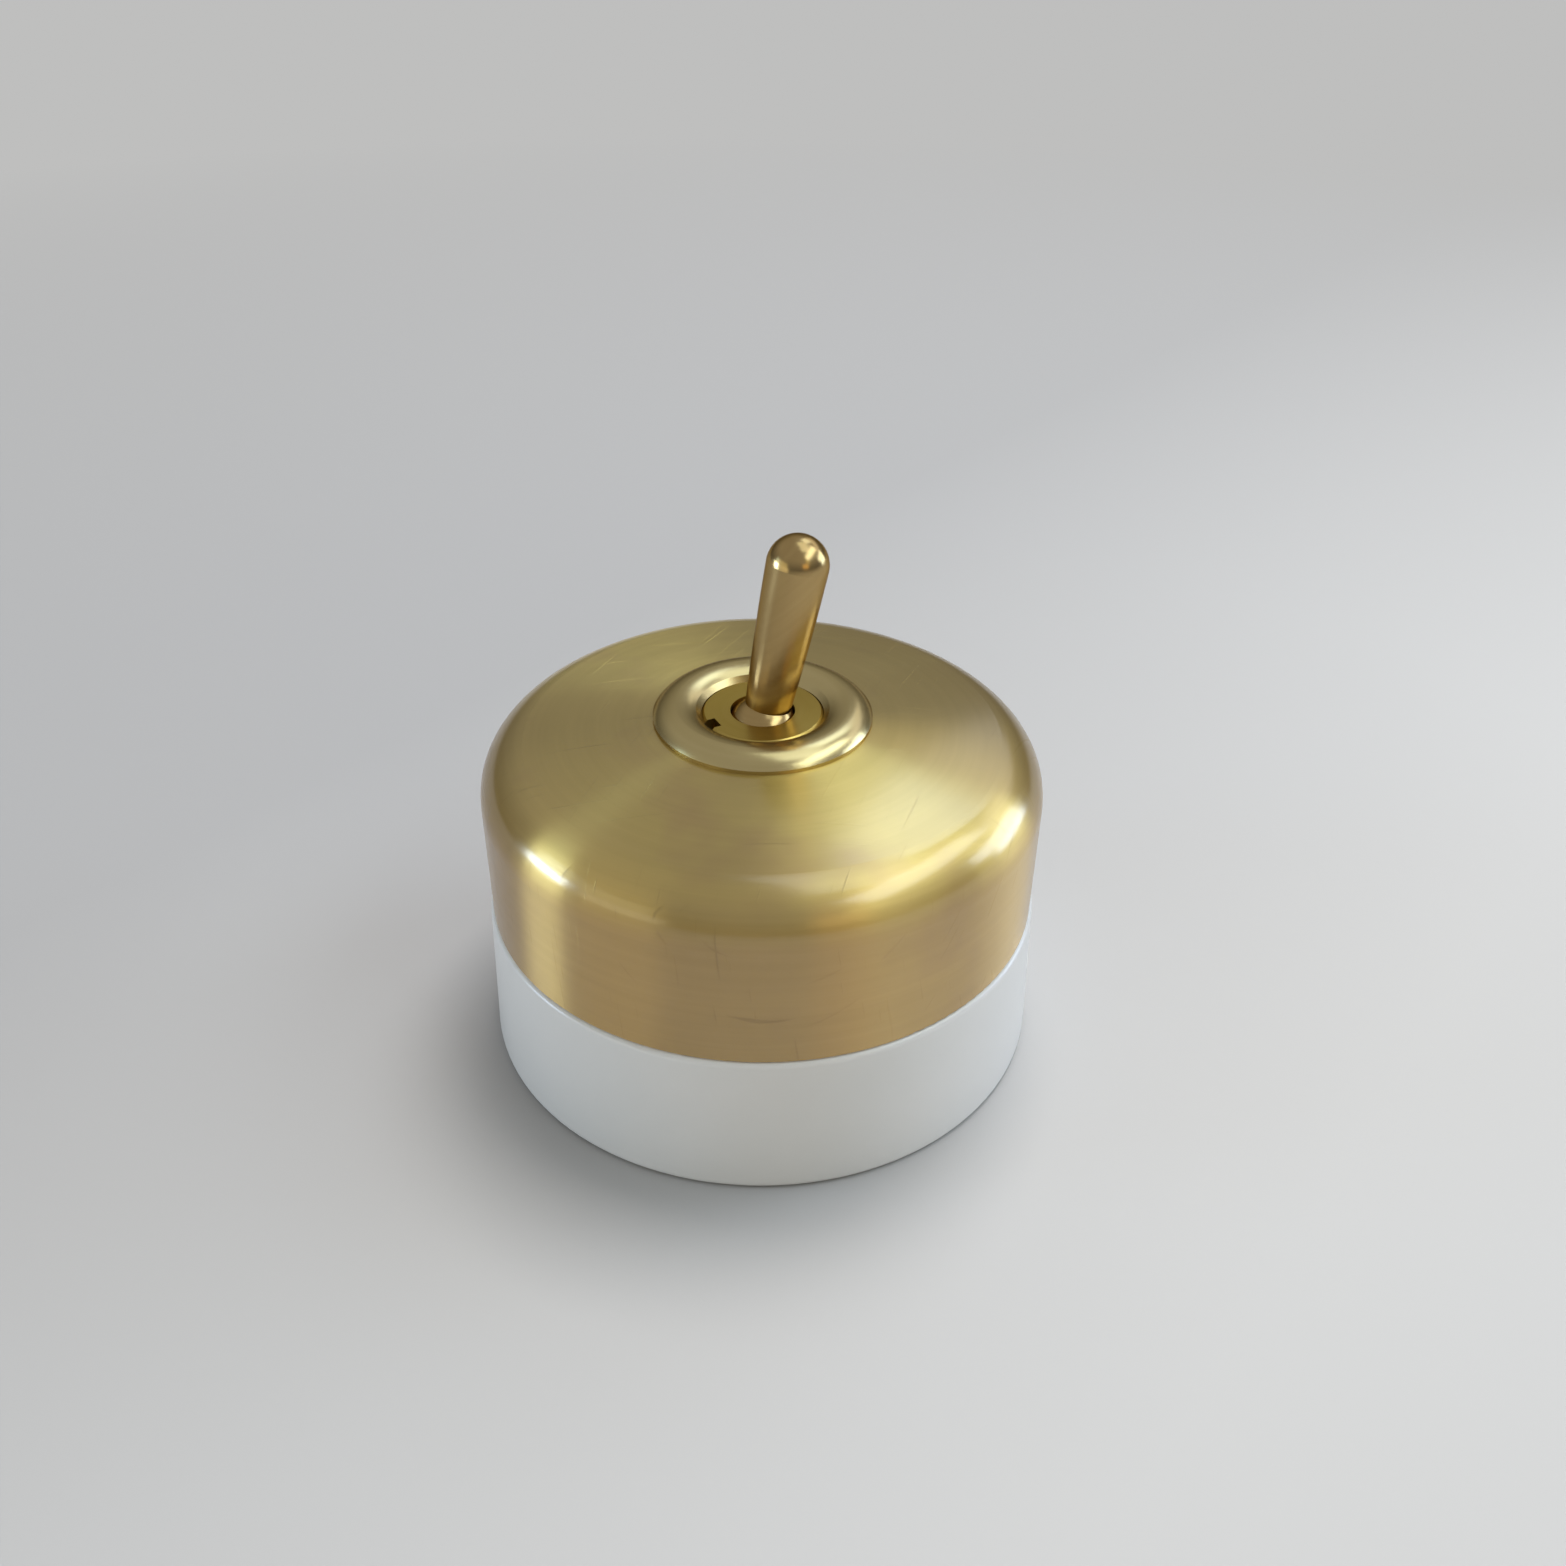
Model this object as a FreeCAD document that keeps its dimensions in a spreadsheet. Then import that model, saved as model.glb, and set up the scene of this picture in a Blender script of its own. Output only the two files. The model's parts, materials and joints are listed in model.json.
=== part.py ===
import FreeCAD, Part
import math
import os
import Sketcher

# Round surface switch: a glazed base, a spun brass cover, and a turned lever in a bush
# The origin is the middle of the base's underside, +Z points away from the wall
# The lever swings in the XZ plane and leans towards +X at rest

# Driving dimensions in millimetres and degrees: name, size, meaning
DIMENSIONS = [
    ("base_foot_radius", 33.5, "outside of the base at the wall"),
    ("base_top_radius", 32.8, "outside of the base at the seam"),
    ("base_height", 18.0, "seam between base and cover"),
    ("base_floor", 7.0, "thickness of the base's floor"),
    ("base_bore_radius", 28.2, "inside of the base's wall"),
    ("spigot_radius", 31.5, "step that the cover sits round"),
    ("spigot_top", 22.0, "top of that step"),
    ("glaze_round", 0.7, "softened edges of the base"),
    ("fixing_circle", 44.0, "pitch circle of the two wall screws"),
    ("fixing_hole_radius", 2.25, "hole for a wall screw"),
    ("fixing_seat_radius", 4.5, "recess for a wall screw's head"),
    ("fixing_seat_depth", 2.0, "depth of that recess"),
    ("cable_hole_radius", 5.0, "cable entry through the floor"),
    ("cable_hole_reach", 20.5, "cable entry's distance from the axis"),
    ("cover_radius", 32.5, "outside of the cover's skirt"),
    ("cover_wall", 0.9, "thickness of the spun brass"),
    ("skirt_top", 32.6, "where the shoulder begins"),
    ("shoulder_radius", 6.3, "bend from skirt to crown"),
    ("crown_radius", 150.0, "slight swell of the crown"),
    ("land_radius", 12.6, "flat seat under the ring nut"),
    ("cover_hole_radius", 7.2, "hole that the bush passes through"),
    ("lip_round", 0.35, "rolled lower edge of the cover"),
    ("ring_radius", 12.5, "outside of the ring nut"),
    ("ring_side", 0.45, "straight part of the ring's side"),
    ("ring_rise", 1.85, "crest of the ring above its seat"),
    ("ring_crest_radius", 9.9, "where the ring is highest"),
    ("ring_mouth_radius", 7.6, "inner edge of the ring's round"),
    ("ring_mouth_drop", 0.7, "how far that edge is below the crest"),
    ("ring_mouth_chamfer", 0.6, "drop from that edge to the ring's bore"),
    ("thread_gap", 0.05, "space between bush and nuts"),
    ("bush_radius", 6.9, "outside of the threaded bush"),
    ("bush_top", 41.5, "flat face round the lever"),
    ("bush_mouth_radius", 3.7, "hole round the ball"),
    ("bush_flare_radius", 5.4, "lower opening, with room for the swinging tail"),
    ("bush_flare_top", 36.5, "where the flare begins"),
    ("bush_flange_radius", 7.9, "flange that rests on the bridge"),
    ("bush_flange_height", 1.2, "thickness of that flange"),
    ("bush_spigot_radius", 6.2, "neck held in the bridge"),
    ("bush_swage_radius", 6.85, "rim spread out under the bridge"),
    ("bush_swage_height", 0.6, "thickness of that rim"),
    ("bush_edge", 0.25, "chamfer round the bush's face"),
    ("keyway_width", 1.8, "slot along the bush"),
    ("keyway_depth", 1.2, "depth of the slot"),
    ("keyway_foot", 35.0, "lower end of the slot"),
    ("nut_across_flats", 17.0, "hexagon nut inside the cover"),
    ("nut_height", 2.3, "thickness of the hexagon nut"),
    ("washer_radius", 10.5, "outside of the key washer"),
    ("washer_height", 0.5, "thickness of the key washer"),
    ("tab_side_play", 0.1, "space beside the washer's tab in the keyway"),
    ("tab_end_play", 0.2, "space at the tab's end"),
    ("tab_root", 0.5, "length of the tab within the washer's disc"),
    ("pivot_height", 38.6, "lever's pivot above the wall"),
    ("lean", 12.0, "lever's tilt at rest"),
    ("ball_radius", 4.3, "ball on the lever"),
    ("ball_play", 0.1, "space between ball and bush"),
    ("lever_foot_radius", 2.65, "lever where it leaves the ball"),
    ("lever_tip_radius", 3.5, "lever at its domed end"),
    ("lever_reach", 20.4, "pivot to the centre of the domed end"),
    ("lever_swell", 0.1, "how far the lever's side bulges from a straight taper"),
    ("tail_radius", 2.8, "tail below the ball"),
    ("tail_reach", 14.0, "pivot to the end of the tail"),
    ("tail_chamfer", 0.4, "chamfer at that end"),
    ("tail_bore_radius", 1.7, "bore for spring and plunger"),
    ("tail_bore_top", 6.0, "pivot to the end of that bore"),
    ("pin_radius", 0.8, "pivot pin"),
    ("pin_length", 13.2, "pivot pin's length"),
    ("pin_play", 0.05, "space round the pin in the ball"),
    ("plunger_radius", 1.65, "plunger in the tail"),
    ("plunger_back", 10.8, "pivot to the plunger's spring seat"),
    ("plunger_peg_radius", 0.9, "peg inside the spring"),
    ("plunger_peg_length", 1.0, "length of the peg"),
    ("nose_radius", 1.1, "round end of the plunger"),
    ("nose_neck", 0.9, "straight part behind the nose's centre"),
    ("nose_reach", 15.8, "pivot to the centre of the nose"),
    ("coil_radius", 1.35, "middle of the spring's wire to its axis"),
    ("wire_radius", 0.2, "spring wire"),
    ("coil_turns", 4.0, "turns of the spring"),
    ("bridge_sheet", 1.5, "thickness of the bridge"),
    ("bridge_half", 16.0, "half the bridge's length over its legs"),
    ("bridge_top", 31.0, "top of the bridge"),
    ("bridge_width", 14.0, "bridge's width"),
    ("bridge_foot_end", 21.5, "outer end of each foot"),
    ("bridge_bend", 1.2, "inner radius of the bends"),
    ("bridge_screw_place", 18.6, "bridge screw's distance from the axis"),
    ("screw_radius", 1.5, "shank of the small screws"),
    ("screw_head_radius", 2.75, "head of the small screws"),
    ("screw_head_height", 1.8, "thickness of those heads"),
    ("screw_slot_width", 0.7, "driver slot"),
    ("screw_slot_depth", 0.8, "driver slot's depth"),
    ("screw_play", 0.1, "space round a shank in a plain hole"),
    ("bridge_screw_end", 1.2, "bridge screw's end above the bridge's foot"),
    ("earth_screw_end", 1.0, "earth screw's end inside the bridge"),
    ("clamp_screw_end", 1.5, "terminal screw's end below its nut"),
    ("clamp_hole_end", 2.0, "room for that end below the nut"),
    ("underside_recess", 2.6, "recess for the bridge screws"),
    ("underside_recess_radius", 3.5, "radius of that recess"),
    ("earth_height", 20.0, "earth screw above the wall"),
    ("plate_washer", 0.8, "thickness of the clamp washers"),
    ("tower_half_length", 13.0, "insulating block along X"),
    ("tower_half_width", 8.4, "insulating block along Y"),
    ("well_half_length", 10.5, "hollow of the block along X"),
    ("well_half_width", 4.8, "hollow of the block along Y"),
    ("well_floor", 16.0, "floor of the hollow and top of the ledges"),
    ("well_mouth_radius", 7.2, "recess under the bush"),
    ("well_mouth_depth", 1.0, "depth of that recess"),
    ("ledge_end", 14.4, "outer end of the terminal ledges"),
    ("live_ledge_side", 1.3, "ledge beside a live terminal"),
    ("common_ledge_side", 1.1, "ledge beside the common terminal"),
    ("strip", 0.8, "thickness of the terminal strips"),
    ("strip_width", 4.0, "width of the live terminals"),
    ("common_width", 5.0, "width of the common terminal"),
    ("live_place", 7.5, "live terminal's distance from the middle"),
    ("clamp_place", 11.4, "terminal screw's distance from the middle"),
    ("strip_end", 14.0, "outer end of the strips"),
    ("live_inner_end", 2.4, "inner end of the live terminals"),
    ("nut_side", 5.4, "square terminal nuts"),
    ("nut_foot", 11.0, "underside of the square nuts"),
    ("square_nut_height", 2.2, "thickness of the square nuts"),
    ("nut_play", 0.1, "space round a square nut in its pocket"),
    ("fulcrum_height", 19.5, "rocker's pivot above the wall"),
    ("rocker_tilt", 8.0, "rocker's tilt at rest"),
    ("rocker_width", 5.2, "rocker along Y"),
    ("rocker_half_length", 8.7, "rocker's half length"),
    ("rocker_wing", 0.8, "thickness of the rocker's wings"),
    ("wing_foot", 0.2, "underside of the wings above the pivot"),
    ("nose_room", 0.15, "space between the nose and the rocker's cradle"),
    ("cradle_half", 4.0, "half the hollow's length"),
    ("cradle_rim", 0.4, "flat rim at the hollow's ends"),
    ("cradle_shoulder", 0.9, "from the hollow's end to the foot of its slope"),
    ("keel_half", 1.4, "half the width of the keel, and its depth"),
    ("trunnion_radius", 0.8, "rocker's round pivots"),
    ("trunnion_length", 8.6, "length over both pivots"),
    ("cheek_gap", 6.4, "space between the common terminal's cheeks"),
    ("cheek_top", 21.0, "top of the cheeks"),
    ("cheek_width", 4.0, "width of the cheeks"),
    ("contact_place", 7.5, "moving contact's distance from the pivot"),
    ("moving_contact_radius", 1.1, "moving contact"),
    ("moving_contact_foot", 0.6, "moving contact's face below the pivot"),
    ("moving_contact_head", 0.3, "rivet head above the wing"),
    ("fixed_contact_radius", 1.5, "fixed contact"),
    ("fixed_contact_height", 0.8, "fixed contact above its strip"),
    ("contact_neck_radius", 0.6, "rivet neck through the metal"),
]

# How far a cutting piece runs past what it cuts
PAST = 1
# Two lengths closer than this are the same
CLOSE = 0.001

doc = FreeCAD.newDocument("dolly_switch")
sheet = doc.addObject("Spreadsheet::Sheet", "dims")


class Size:
    """A length or angle: its number, and the sheet formula that gives it."""

    def __init__(self, number, formula):
        self.number = number
        self.formula = formula

    def __add__(self, other):
        other = as_size(other)
        return Size(self.number + other.number, f"({self.formula} + {other.formula})")

    def __sub__(self, other):
        other = as_size(other)
        return Size(self.number - other.number, f"({self.formula} - {other.formula})")

    def __mul__(self, other):
        other = as_size(other)
        return Size(self.number * other.number, f"({self.formula} * {other.formula})")

    def __truediv__(self, other):
        other = as_size(other)
        return Size(self.number / other.number, f"({self.formula} / {other.formula})")

    def __neg__(self):
        return Size(-self.number, f"(0 - {self.formula})")


def as_size(value):
    """A plain number is a size of its own."""
    if isinstance(value, Size):
        return value
    return Size(float(value), f"({float(value)!r})")


def root(value):
    """Square root of a size."""
    return Size(math.sqrt(value.number), f"sqrt({value.formula})")


def sine(angle):
    """Sine of an angle in degrees."""
    return Size(math.sin(math.radians(angle.number)), f"sin({angle.formula} * 1 deg)")


def cosine(angle):
    """Cosine of an angle in degrees."""
    return Size(math.cos(math.radians(angle.number)), f"cos({angle.formula} * 1 deg)")


def fill_sheet():
    """Write the driving dimensions, one to a row, and return them by name."""
    sizes = {}
    for row, (alias, number, meaning) in enumerate(DIMENSIONS, start=1):
        sheet.set(f"A{row}", meaning)
        sheet.set(f"B{row}", str(number))
        sheet.setAlias(f"B{row}", alias)
        sizes[alias] = Size(number, f"dims.{alias}")
    doc.recompute()
    return sizes


dim = fill_sheet()


def bind(thing, prop, value):
    """Tie one property of a feature to the sheet."""
    thing.setExpression(prop, as_size(value).formula)


def origin_plane(body, role):
    """One of a body's own three planes."""
    for feature in body.Origin.OriginFeatures:
        if feature.Role == role:
            return feature
    raise ValueError(role)


def new_body(name):
    """An empty body named after its piece."""
    body = doc.addObject("PartDesign::Body", name)
    body.Label = name
    return body


def new_sketch(body, name, role):
    """A sketch on one of the body's own planes."""
    sketch = body.newObject("Sketcher::SketchObject", name)
    sketch.AttachmentSupport = [(origin_plane(body, role), "")]
    sketch.MapMode = "FlatFace"
    return sketch


def corner(across, up, radius=None, turn=1):
    """A corner of an outline. With a radius it is reached by an arc: turn 1 is anticlockwise."""
    return as_size(across), as_size(up), radius, turn


def draw_edge(sketch, start, end):
    """Draw the line or arc between two corners; give its number and its two end points."""
    first = FreeCAD.Vector(start[0].number, start[1].number, 0)
    last = FreeCAD.Vector(end[0].number, end[1].number, 0)
    if end[2] is None:
        return sketch.addGeometry(Part.LineSegment(first, last)), 1, 2
    radius = as_size(end[2])
    turn = end[3]
    chord = last - first
    middle = (first + last) * 0.5
    rise = math.sqrt(max(radius.number ** 2 - (chord.Length / 2) ** 2, 0))
    side = FreeCAD.Vector(-chord.y, chord.x, 0).normalize() * (rise * turn)
    centre = middle + side
    begin = math.atan2(first.y - centre.y, first.x - centre.x)
    finish = math.atan2(last.y - centre.y, last.x - centre.x)
    circle = Part.Circle(centre, FreeCAD.Vector(0, 0, 1), radius.number)
    if turn > 0:
        number = sketch.addGeometry(Part.ArcOfCircle(circle, begin, finish))
        ends = (1, 2)
    else:
        number = sketch.addGeometry(Part.ArcOfCircle(circle, finish, begin))
        ends = (2, 1)
    index = sketch.addConstraint(Sketcher.Constraint("Radius", number, radius.number))
    bind(sketch, f"Constraints[{index}]", radius)
    return number, ends[0], ends[1]


def pin_point(sketch, edge, point, across, up):
    """Hold one point of an outline at its place by the sheet."""
    for kind, axis, value in (("DistanceX", -2, across), ("DistanceY", -1, up)):
        if abs(value.number) < 1e-9:
            sketch.addConstraint(Sketcher.Constraint("PointOnObject", edge, point, axis))
            continue
        index = sketch.addConstraint(Sketcher.Constraint(kind, -1, 1, edge, point, value.number))
        bind(sketch, f"Constraints[{index}]", value)


def draw_outline(sketch, corners):
    """Draw a closed outline through the corners."""
    edges = []
    for k, end in enumerate(corners):
        edges.append(draw_edge(sketch, corners[k - 1], end))
    for k, (across, up, _radius, _turn) in enumerate(corners):
        here, _start, end_point = edges[k]
        after, start_point, _end = edges[(k + 1) % len(edges)]
        sketch.addConstraint(Sketcher.Constraint("Coincident", here, end_point, after, start_point))
        pin_point(sketch, here, end_point, across, up)


def turned(name, corners):
    """A body of revolution about +Z from corners given as (radius, height)."""
    body = new_body(name)
    sketch = new_sketch(body, f"{name}_section", "XZ_Plane")
    draw_outline(sketch, corners)
    turn = body.newObject("PartDesign::Revolution", f"{name}_turning")
    turn.Profile = sketch
    turn.ReferenceAxis = (sketch, ["V_Axis"])
    turn.Angle = 360
    doc.recompute()
    return body


def extruded(name, corners, width):
    """A body padded along Y, half its width to each side of the XZ plane."""
    body = new_body(name)
    sketch = new_sketch(body, f"{name}_outline", "XZ_Plane")
    draw_outline(sketch, corners)
    bind(sketch, "AttachmentOffset.Base.z", -width / 2)
    pad = body.newObject("PartDesign::Pad", f"{name}_pad")
    pad.Profile = sketch
    bind(pad, "Length", width)
    doc.recompute()
    return body


def round_edges(body, radius, picks):
    """Fillet the edges of a body that the test picks."""
    base = body.Tip
    names = []
    for number, edge in enumerate(base.Shape.Edges, start=1):
        if picks(edge):
            names.append(f"Edge{number}")
    fillet = body.newObject("PartDesign::Fillet", f"{body.Name}_round")
    fillet.Base = (base, names)
    bind(fillet, "Radius", radius)
    doc.recompute()


def rim_at(radius, height):
    """A test for the circular edge of one radius at one height."""
    def picks(edge):
        curve = edge.Curve
        if not isinstance(curve, Part.Circle):
            return False
        same_radius = abs(curve.Radius - radius.number) < CLOSE
        return same_radius and abs(curve.Center.z - height.number) < CLOSE
    return picks


def box(name, xs, ys, zs):
    """A block between two places along each axis."""
    block = doc.addObject("Part::Box", name)
    for side, axis, (low, high) in zip(("Length", "Width", "Height"), "xyz", (xs, ys, zs)):
        low = as_size(low)
        bind(block, side, as_size(high) - low)
        bind(block, f"Placement.Base.{axis}", low)
    return block


def rod(name, radius, low, high, across=0, along=0):
    """An upright cylinder between two heights."""
    cylinder = doc.addObject("Part::Cylinder", name)
    low = as_size(low)
    bind(cylinder, "Radius", radius)
    bind(cylinder, "Height", as_size(high) - low)
    for axis, value in zip("xyz", (across, along, low)):
        bind(cylinder, f"Placement.Base.{axis}", value)
    return cylinder


def cross_rod(name, radius, length, height):
    """A cylinder along Y, centred on the axis at one height."""
    cylinder = doc.addObject("Part::Cylinder", name)
    bind(cylinder, "Radius", radius)
    bind(cylinder, "Height", length)
    lay_down = FreeCAD.Rotation(FreeCAD.Vector(1, 0, 0), -90)
    cylinder.Placement = FreeCAD.Placement(FreeCAD.Vector(0, 0, 0), lay_down)
    bind(cylinder, "Placement.Base.y", -as_size(length) / 2)
    bind(cylinder, "Placement.Base.z", height)
    return cylinder


def join(name, pieces):
    """One solid from several."""
    fuse = doc.addObject("Part::MultiFuse", name)
    fuse.Shapes = pieces
    fuse.Refine = True
    return fuse


def group(name, pieces):
    """Like pieces that stay separate solids."""
    compound = doc.addObject("Part::Compound", name)
    compound.Links = pieces
    compound.Label = name
    return compound


def cut(name, base, tools):
    """A solid with the tools taken out of it."""
    result = base
    for k, tool in enumerate(tools):
        step = doc.addObject("Part::Cut", f"{name}_cut{k}")
        step.Base = result
        step.Tool = tool
        result = step
    result.Label = name
    return result


def tilt(thing, height, angle):
    """Stand a piece on a pivot in the XZ plane and lean it towards +X by an angle."""
    lean_over = FreeCAD.Rotation(FreeCAD.Vector(0, 1, 0), angle.number)
    thing.Placement = FreeCAD.Placement(FreeCAD.Vector(0, 0, height.number), lean_over)
    bind(thing, "Placement.Base.z", height)
    bind(thing, "Placement.Rotation.Angle", angle)


# Glazed base
def make_base():
    foot = dim["base_foot_radius"]
    rim = dim["base_top_radius"]
    seam = dim["base_height"]
    floor = dim["base_floor"]
    body = turned("porcelain_base_body", [
        corner(0, 0),
        corner(foot, 0),
        corner(rim, seam),
        corner(dim["spigot_radius"], seam),
        corner(dim["spigot_radius"], dim["spigot_top"]),
        corner(dim["base_bore_radius"], dim["spigot_top"]),
        corner(dim["base_bore_radius"], floor),
        corner(0, floor),
    ])
    soft_rims = [rim_at(foot, as_size(0)), rim_at(rim, seam)]
    round_edges(body, dim["glaze_round"], lambda edge: any(test(edge) for test in soft_rims))
    tools = []
    diagonal = dim["fixing_circle"] / 2 / root(as_size(2))
    seat = floor - dim["fixing_seat_depth"]
    for k, side in enumerate((1, -1)):
        place = diagonal * side
        tools.append(rod(f"wall_hole{k}", dim["fixing_hole_radius"], -PAST, floor + PAST, place, place))
        tools.append(rod(f"wall_seat{k}", dim["fixing_seat_radius"], seat, floor + PAST, place, place))
    for k, side in enumerate((1, -1)):
        place = dim["bridge_screw_place"] * side
        hole = dim["screw_radius"] + dim["screw_play"]
        recess = dim["underside_recess_radius"]
        tools.append(rod(f"bridge_hole{k}", hole, -PAST, floor + PAST, place))
        tools.append(rod(f"bridge_recess{k}", recess, -PAST, dim["underside_recess"], place))
    corner_place = dim["cable_hole_reach"] / root(as_size(2))
    entry = rod("cable_entry", dim["cable_hole_radius"], -PAST, floor + PAST, -corner_place, corner_place)
    return cut("porcelain_base", body, tools + [entry])


# Spun brass cover
def crown_drop():
    """Height of the shoulder's centre above the crown's centre."""
    reach = dim["crown_radius"] - dim["shoulder_radius"]
    inset = dim["cover_radius"] - dim["shoulder_radius"]
    return root(reach * reach - inset * inset)


def crown_height(radius, inward=0):
    """Height of the crown at a radius, or of a surface parallel to it inside."""
    swell = dim["crown_radius"] - inward
    return dim["skirt_top"] - crown_drop() + root(swell * swell - radius * radius)


def make_cover():
    outside = dim["cover_radius"]
    wall = dim["cover_wall"]
    seam = dim["base_height"]
    bend = dim["shoulder_radius"]
    swell = dim["crown_radius"]
    reach = swell - bend
    inset = outside - bend
    land = dim["land_radius"]
    hole = dim["cover_hole_radius"]
    top = crown_height(land)
    under = crown_height(land, wall)
    body = turned("cover_dome", [
        corner(outside, seam),
        corner(outside, dim["skirt_top"]),
        corner(inset * swell / reach, dim["skirt_top"] + bend * crown_drop() / reach, bend, 1),
        corner(land, top, swell, 1),
        corner(hole, top),
        corner(hole, under),
        corner(land, under),
        corner(inset * (swell - wall) / reach,
               dim["skirt_top"] + (bend - wall) * crown_drop() / reach, swell - wall, -1),
        corner(outside - wall, dim["skirt_top"], bend - wall, -1),
        corner(outside - wall, seam),
    ])
    round_edges(body, dim["lip_round"], rim_at(outside, seam))
    return body


# Polished ring nut that holds the cover down
def make_ring():
    seat = crown_height(dim["land_radius"])
    bore = dim["bush_radius"] + dim["thread_gap"]
    side_top = seat + dim["ring_side"]
    crest = seat + dim["ring_rise"]
    mouth = crest - dim["ring_mouth_drop"]
    outer_run = dim["ring_radius"] - dim["ring_crest_radius"]
    outer_rise = crest - side_top
    outer_round = (outer_run * outer_run + outer_rise * outer_rise) / (outer_rise * 2)
    inner_run = dim["ring_crest_radius"] - dim["ring_mouth_radius"]
    inner_rise = dim["ring_mouth_drop"]
    inner_round = (inner_run * inner_run + inner_rise * inner_rise) / (inner_rise * 2)
    return turned("ring_nut", [
        corner(bore, seat),
        corner(dim["ring_radius"], seat),
        corner(dim["ring_radius"], side_top),
        corner(dim["ring_crest_radius"], crest, outer_round, 1),
        corner(dim["ring_mouth_radius"], mouth, inner_round, 1),
        corner(bore, mouth - dim["ring_mouth_chamfer"]),
    ])


# Threaded bush that carries the lever
def make_bush():
    outside = dim["bush_radius"]
    top = dim["bush_top"]
    edge = dim["bush_edge"]
    mouth = dim["bush_mouth_radius"]
    pivot = dim["pivot_height"]
    socket = dim["ball_radius"] + dim["ball_play"]
    lip = pivot + root(socket * socket - mouth * mouth)
    plate_top = dim["bridge_top"]
    plate_under = plate_top - dim["bridge_sheet"]
    foot = plate_under - dim["bush_swage_height"]
    body = turned("bush_body", [
        corner(dim["bush_swage_radius"], foot),
        corner(dim["bush_swage_radius"], plate_under),
        corner(dim["bush_spigot_radius"], plate_under),
        corner(dim["bush_spigot_radius"], plate_top),
        corner(dim["bush_flange_radius"], plate_top),
        corner(dim["bush_flange_radius"], plate_top + dim["bush_flange_height"]),
        corner(outside, plate_top + dim["bush_flange_height"]),
        corner(outside, top - edge),
        corner(outside - edge, top),
        corner(mouth, top),
        corner(mouth, lip),
        corner(socket, pivot, socket, -1),
        corner(socket, dim["bush_flare_top"]),
        corner(dim["bush_flare_radius"], plate_top),
        corner(dim["bush_flare_radius"], foot),
    ])
    half_key = dim["keyway_width"] / 2
    keyway = box("keyway", (-outside - PAST, -outside + dim["keyway_depth"]), (-half_key, half_key),
                 (dim["keyway_foot"], top + PAST))
    pin_hole = cross_rod("bush_pin_hole", dim["pin_radius"], (outside + PAST) * 2, pivot)
    return cut("bush", body, [keyway, pin_hole])


# Hexagon nut and key washer under the cover
def make_cover_nut():
    under = crown_height(dim["land_radius"], dim["cover_wall"])
    top = under - dim["washer_height"]
    low = top - dim["nut_height"]
    hexagon = doc.addObject("Part::Prism", "hexagon")
    hexagon.Polygon = 6
    bind(hexagon, "Circumradius", dim["nut_across_flats"] / root(as_size(3)))
    bind(hexagon, "Height", dim["nut_height"])
    bind(hexagon, "Placement.Base.z", low)
    bore = rod("hexagon_bore", dim["bush_radius"] + dim["thread_gap"], low - PAST, top + PAST)
    return cut("cover_nut", hexagon, [bore])


def make_key_washer():
    under = crown_height(dim["land_radius"], dim["cover_wall"])
    low = under - dim["washer_height"]
    bore = dim["bush_radius"] + dim["thread_gap"]
    disc = rod("washer_disc", dim["washer_radius"], low, under)
    hole = rod("washer_hole", bore, low - PAST, under + PAST)
    plain = doc.addObject("Part::Cut", "washer_plain")
    plain.Base = disc
    plain.Tool = hole
    half_tab = dim["keyway_width"] / 2 - dim["tab_side_play"]
    tab_end = -dim["bush_radius"] + dim["keyway_depth"] - dim["tab_end_play"]
    tab = box("washer_tab", (-bore - dim["tab_root"], tab_end), (-half_tab, half_tab), (low, under))
    washer = join("key_washer", [plain, tab])
    washer.Label = "key_washer"
    return washer


# Turned lever with its ball and hollow tail
def make_dolly():
    ball = dim["ball_radius"]
    foot = dim["lever_foot_radius"]
    tip = dim["lever_tip_radius"]
    reach = dim["lever_reach"]
    tail = dim["tail_radius"]
    bore = dim["tail_bore_radius"]
    end = -dim["tail_reach"]
    chamfer = dim["tail_chamfer"]
    foot_height = root(ball * ball - foot * foot)
    run = reach - foot_height
    spread = tip - foot
    half_side = root(run * run + spread * spread) / 2
    swell = dim["lever_swell"]
    side_round = (half_side * half_side + swell * swell) / (swell * 2)
    body = turned("dolly_body", [
        corner(0, reach + tip),
        corner(tip, reach, tip, -1),
        corner(foot, foot_height, side_round, -1),
        corner(tail, -root(ball * ball - tail * tail), ball, -1),
        corner(tail, end + chamfer),
        corner(tail - chamfer, end),
        corner(bore, end),
        corner(bore, -dim["tail_bore_top"]),
        corner(0, -dim["tail_bore_top"]),
    ])
    tilt(body, dim["pivot_height"], dim["lean"])
    hole = cross_rod("ball_hole", dim["pin_radius"] + dim["pin_play"], (ball + PAST) * 2, dim["pivot_height"])
    return cut("dolly", body, [hole])


def make_pivot_pin():
    pin = cross_rod("pivot_pin", dim["pin_radius"], dim["pin_length"], dim["pivot_height"])
    pin.Label = "pivot_pin"
    return pin


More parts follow.
